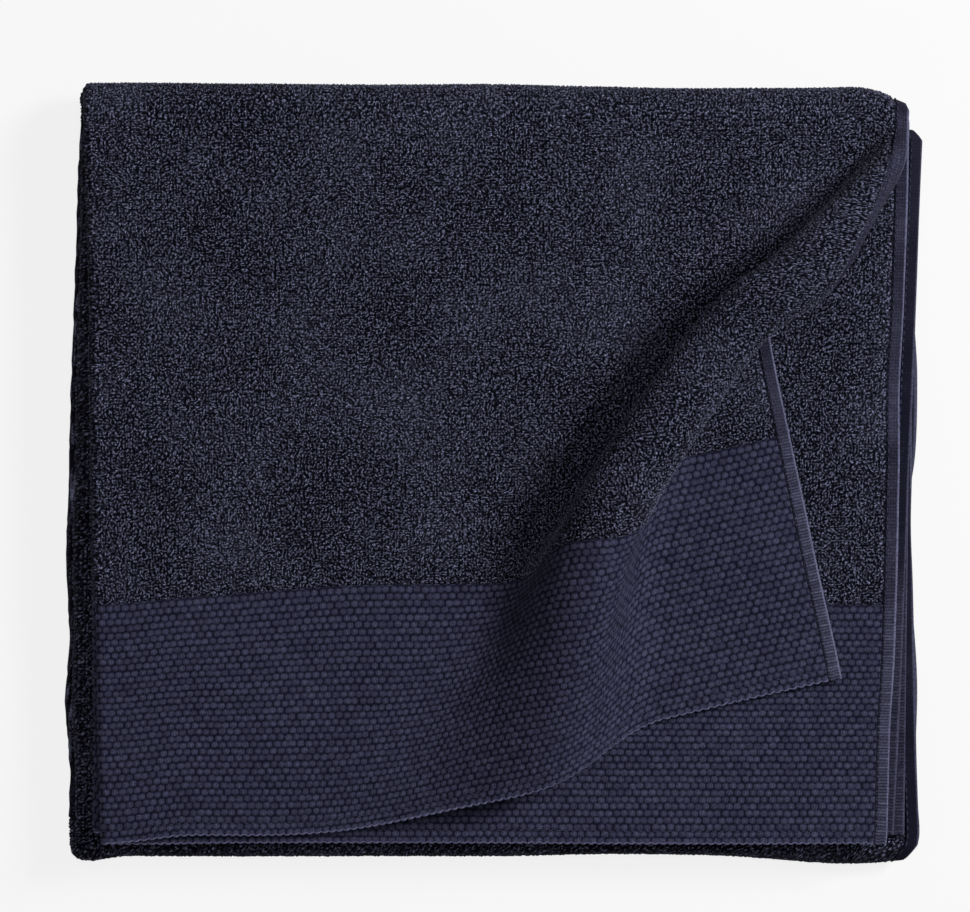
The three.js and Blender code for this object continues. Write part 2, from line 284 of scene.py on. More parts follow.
BORDER_SLACK = 7 * MM  # how far the pile's end lies forward, away from the pleat
BORDER_SLACK_RUN = 55 * MM
BORDER_SLACK_WIDTH = 130 * MM
SCALLOP = 0.7 * MM
SCALLOP_SPACING = 3.55 * MM


def cloth(w, s):
    """The middle of the cloth and the direction of its face at cloth coordinates w and s."""
    scallop = SCALLOP * (1 - np.abs(np.sin(math.pi * w / SCALLOP_SPACING)))
    s = s + scallop * (smooth(1 - s / END_HEM) - smooth(1 - (S_END - s) / END_HEM))
    point, face = folded(w, s)
    top = (w > BEND) & (s < S_BACK)
    u = FOLD_EDGE + (w[top] - BEND) * (FOLDED_WIDTH - FOLD_EDGE) / (FOLDED_WIDTH - BEND)
    v = S_BACK - s[top]
    reach = 0.02 * MM
    along_u = pleated(u + reach, v) - pleated(u - reach, v)
    along_v = pleated(u, v - reach) - pleated(u, v + reach)
    normal = np.cross(along_u, along_v)
    point[top] = pleated(u, v)
    slack = np.where(s < S_BACK, np.exp(-((s - BORDER_END) / BORDER_SLACK_RUN) ** 2), 0)
    point[..., 1] -= BORDER_SLACK * slack * (1 - smooth(w / BORDER_SLACK_WIDTH))
    face[top] = normal / np.linalg.norm(normal, axis=-1, keepdims=True)
    return point, face


# How the laid cloth strays from the straight stack. Each sway has its middle and its spread along
# an edge, and how far the edge leans out there; it fades out towards the middle of the towel.
BACK_FLATTENING = 0.04  # of the back fold's roundness
FRONT_FLATTENING = 0.34
CORNER_PULL = 9 * MM  # how far the back fold's free end is pulled forward
WANDER = 0.8 * MM  # of the edges
WANDER_DEPTH = 5.5 * MM  # of the stack that wanders together
CORNER_TAPER = 9 * MM  # of the front fold at the right
CUSHION = 0.5 * MM  # of the stack's height, where it lies higher or lower
LEFT_SWAYS = (
    (-10 * MM, 105 * MM, 4.2 * MM), (-103 * MM, 20 * MM, 2.3 * MM), (150 * MM, 60 * MM, 1.2 * MM),
)
RIGHT_SWAYS = (
    (42 * MM, 50 * MM, 5.6 * MM), (-22 * MM, 18 * MM, -4.0 * MM), (-88 * MM, 30 * MM, 2.6 * MM),
    (-154 * MM, 6 * MM, 2.4 * MM),
)
FRONT_SWAYS = ((152 * MM, 42 * MM, 3.4 * MM), (-176 * MM, 9 * MM, 2.2 * MM))
BACK_SWAYS = ((95 * MM, 75 * MM, -2.1 * MM),)


def sway(along, sways):
    """How far an edge leans out at a place along it."""
    return sum(out * np.exp(-((along - middle) / spread) ** 2) for middle, spread, out in sways)


def settled(point):
    """The same points after the towel has settled: flatter folds, pulled corner, uneven edges."""
    x, y, z = (point[..., k].copy() for k in range(3))
    y -= BACK_FLATTENING * np.maximum(y - BACK_Y, 0)
    y += FRONT_FLATTENING * np.maximum(FRONT_Y - y, 0)
    pull = smooth((x - 148 * MM) / (36 * MM)) ** 2 * smooth((y - BACK_Y + 14 * MM) / (34 * MM))
    y -= CORNER_PULL * pull
    layer = np.minimum(z, AXIS_Z + 4 * PITCH)
    below = 1 - smooth((z - AXIS_Z + 2 * PITCH) / (2 * PITCH))
    x += WANDER * drift(y / (38 * MM), layer / WANDER_DEPTH, 1)
    y += 0.8 * WANDER * drift(x / (52 * MM), layer / WANDER_DEPTH, 2)
    x -= below * smooth((-x - 120 * MM) / (50 * MM)) * sway(y, LEFT_SWAYS)
    x += below * smooth((x - 120 * MM) / (50 * MM)) * sway(y, RIGHT_SWAYS)
    turn = np.clip((-y - 156 * MM) / (14 * MM), 0, 1)
    x -= CORNER_TAPER * smooth((x - 140 * MM) / (35 * MM)) * (1 - np.sqrt(1 - turn ** 2))
    y -= below * smooth((-y - 120 * MM) / (30 * MM)) * sway(x, FRONT_SWAYS)
    y += smooth((y - 130 * MM) / (25 * MM)) * sway(x, BACK_SWAYS)
    z += CUSHION * drift(x / (70 * MM), y / (70 * MM), 3) * layer / (32 * MM)
    return np.stack([x, y, z], -1)


# ---- The surface of each cloth, as heights from 0 in its gaps to 1 on its tips ----

LOOP_LENGTH, LOOP_WIDTH = 0.56, 0.25  # of the loops' spacing
LOOP_STRAY = 0.75  # from its lattice place, of the spacing
CELL_STRAY = 0.14
LOWER_HEM_PAINTED_SHADE = 0.45  # how much darker the hems of the lower leaves are drawn: painted shade, where they lie deeper in the stack


def loop_heights(w, s, side):
    """Uncut loops: short dashes that lean each their own way, one to a lattice place."""
    spacing = bpy.context.scene.towel_cloth.loop_spacing
    a, b = w / spacing, s / (0.93 * spacing)
    first_i, first_j = np.floor(a), np.floor(b)
    best = np.zeros_like(a)
    for di in (-1, 0, 1):
        for dj in (-1, 0, 1):
            i, j = first_i + di, first_j + dj
            off_a = a - i - 0.5 - LOOP_STRAY * (scatter(i, j, 11 + side) - 0.5)
            off_b = b - j - 0.5 - LOOP_STRAY * (scatter(i, j, 14 + side) - 0.5)
            lean = math.pi * (1.1 * drift(i / 6, j / 6, 21) + 0.5 * scatter(i, j, 17 + side))
            along = off_a * np.cos(lean) + off_b * np.sin(lean)
            aside = off_b * np.cos(lean) - off_a * np.sin(lean)
            tall = 0.72 + 0.28 * scatter(i, j, 24 + side)
            bump = np.exp(-((along / LOOP_LENGTH) ** 2) - (aside / LOOP_WIDTH) ** 2)
            best = np.maximum(best, tall * bump)
    return best


def cell_heights(w, s, side):
    """Small rounded cells of the flat border, each row set over by half a cell."""
    settings = bpy.context.scene.towel_cloth
    row = np.floor(s / settings.cell_length)
    place = w / settings.cell_width + 0.5 * np.mod(row, 2)
    column = np.floor(place)
    off_a = place - column - 0.5 - CELL_STRAY * (scatter(column, row, 33 + side) - 0.5)
    off_b = s / settings.cell_length - row - 0.5
    off_b -= CELL_STRAY * (scatter(column, row, 36 + side) - 0.5)
    narrow = 1.9 + 0.4 * scatter(column, row, 39 + side)
    shape = np.clip(1 - np.abs(narrow * off_a) ** 2.5 - np.abs(2.05 * off_b) ** 2.5, 0, 1)
    tall = 0.68 + 0.32 * scatter(column, row, 31 + side)
    yarns = 0.79 + 0.21 * np.cos(6 * math.pi * (off_a + 0.15 * off_b))
    # painted highlight: the border is drawn lighter along the lengthwise fold, on the outer face
    fold_highlight = 1 + 0.7 * np.exp(-((w / (1.5 * MM)) ** 2)) * (side > 0)
    return tall * yarns * fold_highlight * shape ** 0.5


def rib_heights(w, s, side):
    """Fine ribs across a turned side hem, flatter beside the pile, with a painted highlight along
    its folded edge and painted shade on the hems of the lower leaves.
    """
    spacing = bpy.context.scene.towel_cloth.rib_spacing
    rib = np.abs(np.sin(math.pi * s / spacing + 0.8 * drift(s / (9 * MM), w / (9 * MM), 41)))
    edge = smooth((np.abs(w) - FOLDED_WIDTH + 1.0 * MM) / (0.6 * MM))
    flat = smooth((np.minimum(s, S_END - s) - BORDER_END) / (25 * MM) + 0.5)
    rib = (0.45 + 0.35 * scatter(np.floor(s / spacing), side, 43)) * rib ** 0.7
    wale = np.abs(np.sin(math.pi * w / (1.1 * MM)))
    plain = 0.08 + 0.5 * rib * wale + 0.1 * drift(s / (14 * MM), 0 * s, 45 + side)
    # painted shade: the hems of the lower leaves are drawn darker, where they lie deeper in the
    # stack
    lower = smooth((s - S_BACK) / (20 * MM))
    rib += flat * ((1 - 0.5 * lower) * plain - rib)
    # painted highlight along the hem's folded edge
    rib += (0.95 - rib) * edge
    return rib * (1 - LOWER_HEM_PAINTED_SHADE * lower)


# ---- Sheets of cloth ----

LIP_TONE = 2.2  # how much lighter the scalloped lips of the end hems are drawn than the tips


def lip_heights(w, s, side):
    """The border's cells, running out into the lighter scalloped lip of an end hem."""
    lip = smooth(1.8 - np.minimum(s, S_END - s) / (0.5 * MM))
    return cell_heights(w, s, side) * (1 - lip) + LIP_TONE * lip


def run(*stretches):
    """Grid lines through stretches given as start, end, spacing, start, end, spacing and so on."""
    stops = [np.array([stretches[0]])]
    for start, end, spacing in zip(stretches[0::2], stretches[2::2], stretches[1::2]):
        count = max(1, math.ceil((end - start) / spacing))
        stops.append(np.linspace(start, end, count + 1)[1:])
    return np.concatenate(stops)


def zipped(row_a, at_a, row_b, at_b, turned):
    """Triangles between two rows of corners, whose places along the rim are given."""
    i, j, faces = 0, 0, []
    while i < len(row_a) - 1 or j < len(row_b) - 1:
        if j == len(row_b) - 1 or (i < len(row_a) - 1 and at_a[i + 1] <= at_b[j + 1]):
            faces.append((row_a[i + 1], row_a[i], row_b[j]))
            i += 1
        else:
            faces.append((row_a[i], row_b[j], row_b[j + 1]))
            j += 1
    faces = np.array(faces, np.int32)
    return faces[:, ::-1] if turned else faces


def cloth_sheet(name, outer, inner, half, relief, depth, material):
    """A closed sheet. outer and inner are the grid lines (w, s) of its face and of its back,
    half is the function of half its thickness, and relief the heights of its surface, which
    reach depth below its tips."""
    points, heights, places, grids, maps = [], [], [], [], []
    count = 0
    (low_w, high_w), (low_s, high_s) = outer[0][[0, -1]], outer[1][[0, -1]]
    for side, (w_stops, s_stops) in ((1, outer), (-1, inner)):
        w, s = np.meshgrid(w_stops, s_stops, indexing="ij")
        height = relief(w, s, side)
        point, face = cloth(w, s)
        lift = side * (half(w, s) - depth * (1 - np.minimum(height, 1)))
        points.append(settled(point + face * lift[..., None]).reshape(-1, 3))
        heights.append(height.ravel())
        places.append(np.stack([w, s, np.full_like(w, side * MM)], -1).reshape(-1, 3))
        along, up = (w - low_w) / (high_w - low_w), (s - low_s) / (high_s - low_s)
        start = 0.002 if side > 0 else 0.502
        maps.append(np.stack([start + 0.496 * along, 0.002 + 0.95 * up], -1).reshape(-1, 2))
        grids.append(count + np.arange(w.size, dtype=np.int32).reshape(w.shape))
        count += w.size
    front, back = grids
    quads = []
    for grid, order in ((front, (0, 1, 2, 3)), (back, (3, 2, 1, 0))):
        corners = (grid[:-1, :-1], grid[1:, :-1], grid[1:, 1:], grid[:-1, 1:])
        quads.append(np.stack([corners[k].ravel() for k in order], -1))
    rims = [
        zipped(front[:, 0], outer[0], back[:, 0], inner[0], False),
        zipped(front[:, -1], outer[0], back[:, -1], inner[0], True),
        zipped(front[0], outer[1], back[0], inner[1], True),
        zipped(front[-1], outer[1], back[-1], inner[1], False),
    ]
    points, places, maps = (np.concatenate(parts) for parts in (points, places, maps))
    rim_maps = []
    for k, (rim, axis) in enumerate(zip(rims, (0, 0, 1, 1))):
        span = (low_w, high_w) if axis == 0 else (low_s, high_s)
        along = (places[rim.ravel(), axis] - span[0]) / (span[1] - span[0])
        across = 0.958 + 0.01 * k + 0.006 * (places[rim.ravel(), 2] > 0)
        rim_maps.append(np.stack([0.01 + 0.98 * along, across], -1))
    flat_quads, flat_rims = np.concatenate(quads).ravel(), np.concatenate(rims).ravel()
    map_places = np.concatenate([maps[flat_quads], *rim_maps])
    return dressed(
        name, points, flat_quads, flat_rims, map_places, np.concatenate(heights), places, material
    )


def dressed(name, points, quads, triangles, map_places, height, places, material):
    """A smooth piece from flat lists of quad and triangle corners, with its map, and with the
    height of its surface and its place on the cloth at each point."""
    mesh = bpy.data.meshes.new(name)
    corners = np.concatenate([quads, triangles]).astype(np.int32)
    starts = np.concatenate([
        np.arange(0, len(quads), 4),
        len(quads) + np.arange(0, len(triangles), 3),
    ]).astype(np.int32)
    mesh.vertices.add(len(points))
    mesh.vertices.foreach_set("co", points.astype(np.float32).ravel())
    mesh.loops.add(len(corners))
    mesh.loops.foreach_set("vertex_index", corners)
    mesh.polygons.add(len(starts))
    mesh.polygons.foreach_set("loop_start", starts)
    layer = mesh.uv_layers.new(name="OFBake")
    layer.uv.foreach_set("vector", map_places.astype(np.float32).ravel())
    mesh.update(calc_edges=True)
    mesh.validate()
    mesh.shade_smooth()
    attribute = mesh.attributes.new("surface_height", "FLOAT", "POINT")
    attribute.data.foreach_set("value", height.astype(np.float32).ravel())
    attribute = mesh.attributes.new("cloth_place", "FLOAT_VECTOR", "POINT")
    attribute.data.foreach_set("vector", places.astype(np.float32).ravel())
    mesh.materials.append(material)
    piece = bpy.data.objects.new(name, mesh)
    bpy.context.scene.collection.objects.link(piece)
    return piece


def pile_half(w, s):
    """Half the pile cloth's thickness, rounded off where it meets a hem or the border."""
    ends = np.minimum(np.abs(s - BORDER_END), np.abs(S_END - BORDER_END - s))
    edge = np.minimum(CLOTH_EDGE - np.abs(w), ends)
    return LEAF / 2 - 0.5 * MM * (1 - smooth(edge / (1.2 * MM)))


def border_half(w, s):
    """The flat border is thinner than the pile."""
    return np.full_like(w, 1.25 * MM)


def end_hem_half(w, s):
    """An end hem is rounded over at the towel's end."""
    edge = np.minimum(s, S_END - s) / (1.3 * MM)
    return 1.3 * MM * np.sqrt(np.clip(1 - (1 - np.clip(edge, 0, 1)) ** 2, 0.02, 1))


def side_hem_half(w, s):
    """A turned hem: rounded over at the edge, drawn in where it is sewn to the cloth."""
    share = np.clip((np.abs(w) - CLOTH_EDGE) / SIDE_HEM, 0, 1)
    return 1.35 * MM * np.sqrt(np.clip(1 - (2 * share - 1) ** 6, 0.02, 1))


# ---- Finishes ----

def new_group(name, inputs, outputs):
    group = bpy.data.node_groups.new(name, "ShaderNodeTree")
    for title, kind in inputs:
        group.interface.new_socket(title, in_out="INPUT", socket_type="NodeSocket" + kind)
    for title, kind in outputs:
        group.interface.new_socket(title, in_out="OUTPUT", socket_type="NodeSocket" + kind)
    return group, group.nodes.new("NodeGroupInput"), group.nodes.new("NodeGroupOutput")


def math_node(tree, operation, first, second):
    node = tree.nodes.new("ShaderNodeMath")
    node.operation = operation
    for socket, value in zip(node.inputs, (first, second)):
        if isinstance(value, (int, float)):
            socket.default_value = value
        else:
            tree.links.new(value, socket)
    return node.outputs[0]


def noise_node(tree, place, scale, detail):
    node = tree.nodes.new("ShaderNodeTexNoise")
    node.inputs["Scale"].default_value = scale
    node.inputs["Detail"].default_value = detail
    tree.links.new(place, node.inputs["Vector"])
    return node.outputs["Fac"]


def yarn_dye_and_gap_shade_group():
    """Yarn colour from the height of the surface, with painted shade: far darker deep in the gaps,
    where shade falls, and lighter on the tips, with the uneven dye of a washed towel."""
    inputs = [
        ("Height", "Float"), ("Place", "Vector"), ("Gap Colour", "Color"),
        ("Tip Colour", "Color"), ("Contrast", "Float"), ("Unevenness", "Float"),
    ]
    group, given, result = new_group("Yarn Dye And Painted Gap Shade", inputs, [("Colour", "Color")])
    patches = noise_node(group, given.outputs["Place"], 24, 3)
    threads = noise_node(group, given.outputs["Place"], 1400, 2)
    patches = math_node(group, "SUBTRACT", patches, 0.5)
    patches = math_node(group, "MULTIPLY", patches, given.outputs["Unevenness"])
    threads = math_node(group, "SUBTRACT", threads, 0.5)
    threads = math_node(group, "MULTIPLY", threads, 2.0)
    height = math_node(group, "POWER", given.outputs["Height"], given.outputs["Contrast"])
    height = math_node(group, "ADD", height, patches)
    spread = math_node(group, "MULTIPLY", threads, given.outputs["Height"])
    height = math_node(group, "ADD", height, spread)
    height = math_node(group, "MAXIMUM", height, 0)
    mix = group.nodes.new("ShaderNodeMix")
    mix.data_type = "RGBA"
    mix.clamp_factor = False
    group.links.new(height, mix.inputs["Factor"])
    group.links.new(given.outputs["Gap Colour"], mix.inputs["A"])
    group.links.new(given.outputs["Tip Colour"], mix.inputs["B"])
    group.links.new(mix.outputs["Result"], result.inputs["Colour"])
    return group


def cotton_fibre_group():
    """Height of the loose fibres on the yarn, for a bump."""
    group, given, result = new_group(
        "Cotton Fibre", [("Place", "Vector"), ("Fineness", "Float")], [("Height", "Float")]
    )
    noise = group.nodes.new("ShaderNodeTexNoise")
    noise.inputs["Detail"].default_value = 4
    group.links.new(given.outputs["Place"], noise.inputs["Vector"])
    group.links.new(given.outputs["Fineness"], noise.inputs["Scale"])
    group.links.new(noise.outputs["Fac"], result.inputs["Height"])
    return group


def cotton(name, gap, tip, contrast, unevenness, fineness, sheen):
    """A cotton finish: yarn colour with its painted gap shade, and fibre bump, from the shared
    groups.
    """
    material = bpy.data.materials.new(name)
    material.use_nodes = True
    tree = material.node_tree
    shader = tree.nodes["Principled BSDF"]
    height, place = (tree.nodes.new("ShaderNodeAttribute") for _ in range(2))
    height.attribute_name, place.attribute_name = "surface_height", "cloth_place"
    yarn, fibre = (tree.nodes.new("ShaderNodeGroup") for _ in range(2))
    yarn.node_tree = bpy.data.node_groups["Yarn Dye And Painted Gap Shade"]
    fibre.node_tree = bpy.data.node_groups["Cotton Fibre"]
    tree.links.new(height.outputs["Fac"], yarn.inputs["Height"])
    tree.links.new(place.outputs["Vector"], yarn.inputs["Place"])
    tree.links.new(place.outputs["Vector"], fibre.inputs["Place"])
    yarn.inputs["Gap Colour"].default_value = (*gap, 1)
    yarn.inputs["Tip Colour"].default_value = (*tip, 1)
    yarn.inputs["Contrast"].default_value = contrast
    yarn.inputs["Unevenness"].default_value = unevenness
    fibre.inputs["Fineness"].default_value = fineness
    bump = tree.nodes.new("ShaderNodeBump")
    bump.inputs["Strength"].default_value = 0.5
    bump.inputs["Distance"].default_value = 0.2 * MM
    tree.links.new(fibre.outputs["Height"], bump.inputs["Height"])
    tree.links.new(yarn.outputs["Colour"], shader.inputs["Base Color"])
    tree.links.new(bump.outputs["Normal"], shader.inputs["Normal"])
    shader.inputs["Roughness"].default_value = 0.95
    shader.inputs["Specular IOR Level"].default_value = 0.03
    shader.inputs["Sheen Weight"].default_value = sheen
    shader.inputs["Sheen Roughness"].default_value = 0.5
    shader.inputs["Sheen Tint"].default_value = (0.55, 0.56, 0.75, 1)
    return material


def finish(name):
    """The named finish, made the first time that a piece wears it."""
    if name in bpy.data.materials:
        return bpy.data.materials[name]
    if "Yarn Dye And Painted Gap Shade" not in bpy.data.node_groups:
        yarn_dye_and_gap_shade_group()
        cotton_fibre_group()
    c = bpy.context.scene.towel_colours
    # each finish's colours, then its contrast, unevenness, fineness and sheen
    return cotton(name, *{
        "Loop Pile": (c.pile_gap, c.pile_tip, 2.8, 0.12, 2600, 0.02),
        "Cell Weave": (c.border_gap, c.border_tip, 1.15, 0.16, 1800, 0.01),
        "Hem Rib": (c.hem_gap, c.hem_tip, 1.3, 0.2, 1800, 0.01),
        "Seam Thread": (c.hem_gap, c.thread, 1.0, 0.1, 3000, 0.01),
    }[name])


# ---- Settings ----

def length(name, description, default):
    return bpy.props.FloatProperty(
        name=name, description=description, default=default, min=0, unit="LENGTH", precision=5
    )


def colour(name, description, default):
    return bpy.props.FloatVectorProperty(
        name=name, description=description, default=default, size=3, subtype="COLOR", min=0, max=1
    )

class TowelClothSettings(bpy.types.PropertyGroup):
    loop_spacing: length("Loop spacing", "Distance between neighbouring pile loops", 1.25 * MM)
    loop_depth: length("Loop depth", "Depth of the gaps between the loops", 1.0 * MM)
    cell_width: length("Cell width", "Width of a border cell, across the towel", 3.45 * MM)
    cell_length: length("Cell length", "Length of a border cell, along the towel", 3.05 * MM)
    cell_depth: length("Cell depth", "Depth of the lines between border cells", 0.6 * MM)
    rib_spacing: length("Rib spacing", "Distance between the ribs of a side hem", 1.35 * MM)
    rib_depth: length("Rib depth", "Depth of the lines between the ribs", 0.3 * MM)
    stitch_length: length("Stitch length", "Length of a seam's stitch", 2.5 * MM)
    pile_mesh: length("Pile mesh", "Mesh spacing where the pile faces up", 0.43 * MM)
    plain_mesh: length("Plain mesh", "Mesh spacing of cloth that is seen from the side", 0.62 * MM)
    hidden_mesh: length("Hidden mesh", "Mesh spacing of cloth inside the stack", 5 * MM)


# The gap colours hold painted shade: the cloth is drawn far darker deep between its loops, cells
# and ribs, where shade falls.
class TowelColourSettings(bpy.types.PropertyGroup):
    pile_gap: colour("Pile gap", "Deep between the loops", (0.0004, 0.0004, 0.0016))
    pile_tip: colour("Pile tip", "On top of the loops", (0.150, 0.154, 0.244))
    border_gap: colour("Border gap", "Between the border's cells", (0.0023, 0.0023, 0.0068))
    border_tip: colour("Border tip", "On top of the border's cells", (0.030, 0.030, 0.055))
    hem_gap: colour("Hem gap", "Between a hem's ribs", (0.003, 0.003, 0.007))
    hem_tip: colour("Hem tip", "On top of a hem's ribs", (0.048, 0.048, 0.080))
    thread: colour("Thread", "The sewing thread", (0.016, 0.016, 0.030))


class TowelStageSettings(bpy.types.PropertyGroup):
    floor_light: bpy.props.FloatProperty(
        name="Floor light", description="Light that the floor adds of its own", default=0.83, min=0
    )
    fill: bpy.props.FloatProperty(
        name="Fill", description="Soft light from all round", default=0.3, min=0
    )
    key_power: bpy.props.FloatProperty(
        name="Key power", description="Power of the soft light from the back right",
        default=95, unit="POWER",
    )
    overhead_power: bpy.props.FloatProperty(
        name="Overhead power", description="Power of the soft light overhead",
        default=40, unit="POWER",
    )
    lens: bpy.props.FloatProperty(
        name="Lens", description="Focal length of the camera", default=200, unit="CAMERA"
    )
    frame_width: length("Frame width", "Width of floor that the camera takes in", 419 * MM)


# ---- Pieces ----

LOWER, INNER, OUTER = "lower_half", "inner_flap", "outer_flap"


def carried(piece, region, slot, *nodes):
    """Rides a piece with its part of the towel, or leaves it fixed where it lies for a back fold,
    and hides the CAD nodes it stands for.
    """
    if region == "outer_back_fold":
        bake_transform(piece)
    elif region == "inner_back_fold":
        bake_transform(piece)
    elif region == "lower_back_fold":
        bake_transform(piece)
    else:
        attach(piece, region)
    if nodes:
        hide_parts(*nodes)


BACK_SPACING = 1.2 * MM  # along s, on the inner flap's faces inside the doubled cloth


def meshes():
    """The mesh spacings of pile that faces up, of cloth seen from the side, and of hidden cloth."""
    settings = bpy.context.scene.towel_cloth
    return settings.pile_mesh, settings.plain_mesh, settings.hidden_mesh


def outer_flap_stops():
    """Grid lines across the outer flap's two faces, fine where they face up."""
    fine, plain, hidden = meshes()
    near = 60 * MM
    outer = run(-CLOTH_EDGE, plain, 0, fine, CLOTH_EDGE)
    inner = run(-CLOTH_EDGE, fine, -near, plain, -BEND, hidden, 240 * MM, 1.5 * MM, CLOTH_EDGE)
    return outer, inner


def hidden_stops():
    """Grid lines across the two faces of cloth whose inside shows only at its selvages."""
    _, plain, hidden = meshes()
    rim = CLOTH_EDGE - 14 * MM
    inner = run(-CLOTH_EDGE, plain, -rim, hidden, rim, plain, CLOTH_EDGE)
    return run(-CLOTH_EDGE, plain, CLOTH_EDGE), inner


def pile_sheet(name, outer, inner, region, *nodes):
    """A sheet of pile cloth that rides with its region, or stays fixed for a back fold, and stands
    for the CAD nodes.
    """
    settings = bpy.context.scene.towel_cloth
    piece = cloth_sheet(
        name, outer, inner, pile_half, loop_heights, settings.loop_depth, finish("Loop Pile")
    )
    carried(piece, region, "pile_cloth", *nodes)
    return piece


def side_hem_pair(prefix, stops, region, outer_nodes, lining_nodes):
    """The turned side hems of a stretch of cloth, on its outer and its lining layer."""
    settings = bpy.context.scene.towel_cloth
    across = run(CLOTH_EDGE, 0.5 * MM, FOLDED_WIDTH)
    for layer, stops_w, nodes in (
        ("outer", across, outer_nodes),
        ("lining", -across[::-1], lining_nodes),
    ):
        piece = cloth_sheet(
            f"{prefix}_{layer}_selvage", (stops_w, stops), (stops_w, stops), side_hem_half,
            rib_heights, settings.rib_depth, finish("Hem Rib"),
        )
        carried(piece, region, "hem_cloth", *[f"{node}_hem" for node in nodes])


STITCH_PITCH = 1.32  # of the stitch's own length
STITCH_DIP = 0.32 * MM  # of a stitch's ends into the cloth
YARN_RADIUS = 0.3 * MM
SEAM_INSET = 1.2 * MM  # from a hem's fold to its stitches


def seam(name, runs, region, *nodes):
    """Rows of stitches. Each run gives where it starts and ends in (w, s), the side of the cloth
    it lies on and how high it lies over the cloth's middle."""
    settings = bpy.context.scene.towel_cloth
    centres, ways, sides, lifts = [], [], [], []
    for start, end, side, lift in runs:
        start, end = np.array(start), np.array(end)
        total = np.linalg.norm(end - start)
        count = max(1, int(total / (STITCH_PITCH * settings.stitch_length)))
        at = (np.arange(count) + 0.5) / count
        centres.append(start + at[:, None] * (end - start))
        ways.append(np.repeat([(end - start) / total], count, 0))
        sides.append(np.full(count, side))
        lifts.append(np.full(count, lift))
    centre, way = np.concatenate(centres), np.concatenate(ways)
    side, lift = np.concatenate(sides), np.concatenate(lifts)
    rings, corners = 7, 6
    t = np.linspace(-1, 1, rings)[None, :, None]
    angle = (np.arange(corners) * 2 * math.pi / corners)[None, None, :]
    round_off = np.sqrt(np.clip(1 - np.abs(t) ** 3, 0.02, 1))
    radius = YARN_RADIUS * round_off
    forward = settings.stitch_length / 2 * t + 0 * angle
    aside = radius * np.cos(angle)
    w = centre[:, 0, None, None] + way[:, 0, None, None] * forward - way[:, 1, None, None] * aside
    s = centre[:, 1, None, None] + way[:, 1, None, None] * forward + way[:, 0, None, None] * aside
    up = lift[:, None, None] - STITCH_DIP * t ** 4 + radius * np.sin(angle)
    point, face = cloth(w, s)
    points = settled(point + face * (side[:, None, None] * up)[..., None]).reshape(-1, 3)
    grid = np.arange(w.size).reshape(w.shape)
    following = np.roll(grid, -1, axis=2)
    walls = np.stack([grid[:, :-1], following[:, :-1], following[:, 1:], grid[:, 1:]], -1)
    ends = [grid[:, 0][:, [3, 2, 1, 0]], grid[:, 0][:, [5, 4, 3, 0]]]
    ends += [grid[:, -1][:, [0, 1, 2, 3]], grid[:, -1][:, [0, 3, 4, 5]]]
    quads = np.concatenate([walls.reshape(-1, 4), *ends])
    tile = math.ceil(math.sqrt(len(centre)))
    which = np.arange(len(centre))[:, None, None]
    map_u = (which % tile + 0.1 + 0.8 * (t + 1) / 2 + 0 * angle) / tile
    map_v = (which // tile + 0.5 + 0.4 * np.cos(angle) + 0 * t) / tile
    maps = np.stack([map_u, map_v], -1).reshape(-1, 2)
    flat = quads.ravel()
    # painted shade: each stitch is drawn darker towards its ends, where it dips into the cloth
    piece = dressed(
        name, points, flat, np.zeros(0, np.int32), maps[flat],
        np.broadcast_to(round_off, w.shape), np.stack([w, s, 0 * w], -1), finish("Seam Thread"),
    )
    carried(piece, region, "seam_thread", *nodes)


def side_runs(start, end):
    """Stitches along both side hems and on both sides of the cloth, over a stretch of s."""
    line = CLOTH_EDGE + SEAM_INSET
    return [
        ((layer * line, start), (layer * line, end), side, 1.42 * MM)
        for layer in (1, -1)
        for side in (1, -1)
    ]


def end_runs(s):
    """Stitches along an end hem, on both sides of the cloth."""
    return [((-CLOTH_EDGE, s), (CLOTH_EDGE, s), side, 1.2 * MM) for side in (1, -1)]


class TOWEL_OT_seam_threads(bpy.types.Operator):
    """Sew the stitches of the side hems and the end hems"""
    bl_idname = "towel.seam_threads"
    bl_label = "Seam threads"

    def execute(self, context):
        for part, runs, region, leaves in (
            ("outer_flap_end", end_runs(END_HEM - SEAM_INSET), OUTER, ("top", "seventh")),
            ("inner_flap_end", end_runs(S_END - END_HEM + SEAM_INSET), INNER, ("fifth", "sixth")),
            ("outer_flap_side", side_runs(END_HEM, S_APEX), "outer_back_fold", ("top", "seventh")),
            ("inner_flap_side", side_runs(S_INNER_FLAP, S_END - END_HEM), INNER,
             ("fifth", "sixth")),
            ("inner_fold_side", side_runs(S_INNER, S_INNER_FLAP), "inner_back_fold", ()),
            ("lower_half_side", side_runs(S_APEX, S_INNER), "lower_back_fold", LEAF_NAMES[:4]),
        ):
            edge = part.rsplit("_", 1)[1]
            threads = [f"{leaf}_leaf_{edge}_seam_thread" for leaf in leaves]
            seam(f"{part}_stitches", runs, region, *threads)
        return {"FINISHED"}


class TOWEL_OT_side_hems(bpy.types.Operator):
    """Turn the side hems along both long edges of the towel"""
    bl_idname = "towel.side_hems"
    bl_label = "Side hems"

    def execute(self, context):
        rib = context.scene.towel_cloth.rib_spacing / 5
        for part, start, end, region, outer, lining in (
            ("outer_flap", 0, S_APEX, "outer_back_fold", ["top_leaf_side"], ["seventh_leaf_side"]),
            ("inner_flap", S_INNER_FLAP, S_END, INNER, ["fifth_leaf_side"], ["sixth_leaf_side"]),
            ("inner_fold", S_INNER, S_INNER_FLAP, "inner_back_fold",
             ["inner_back_fold_outside"], ["inner_back_fold_inside"]),
            ("lower_half", S_APEX, S_INNER, "lower_back_fold",
             ["bottom_leaf_side", "fourth_leaf_side", "front_fold_outside",
              "outer_back_fold_outside"],
             ["second_leaf_side", "third_leaf_side", "front_fold_inside",
              "outer_back_fold_inside"]),
        ):
            side_hem_pair(part, run(start, rib, end), region, outer, lining)
        return {"FINISHED"}


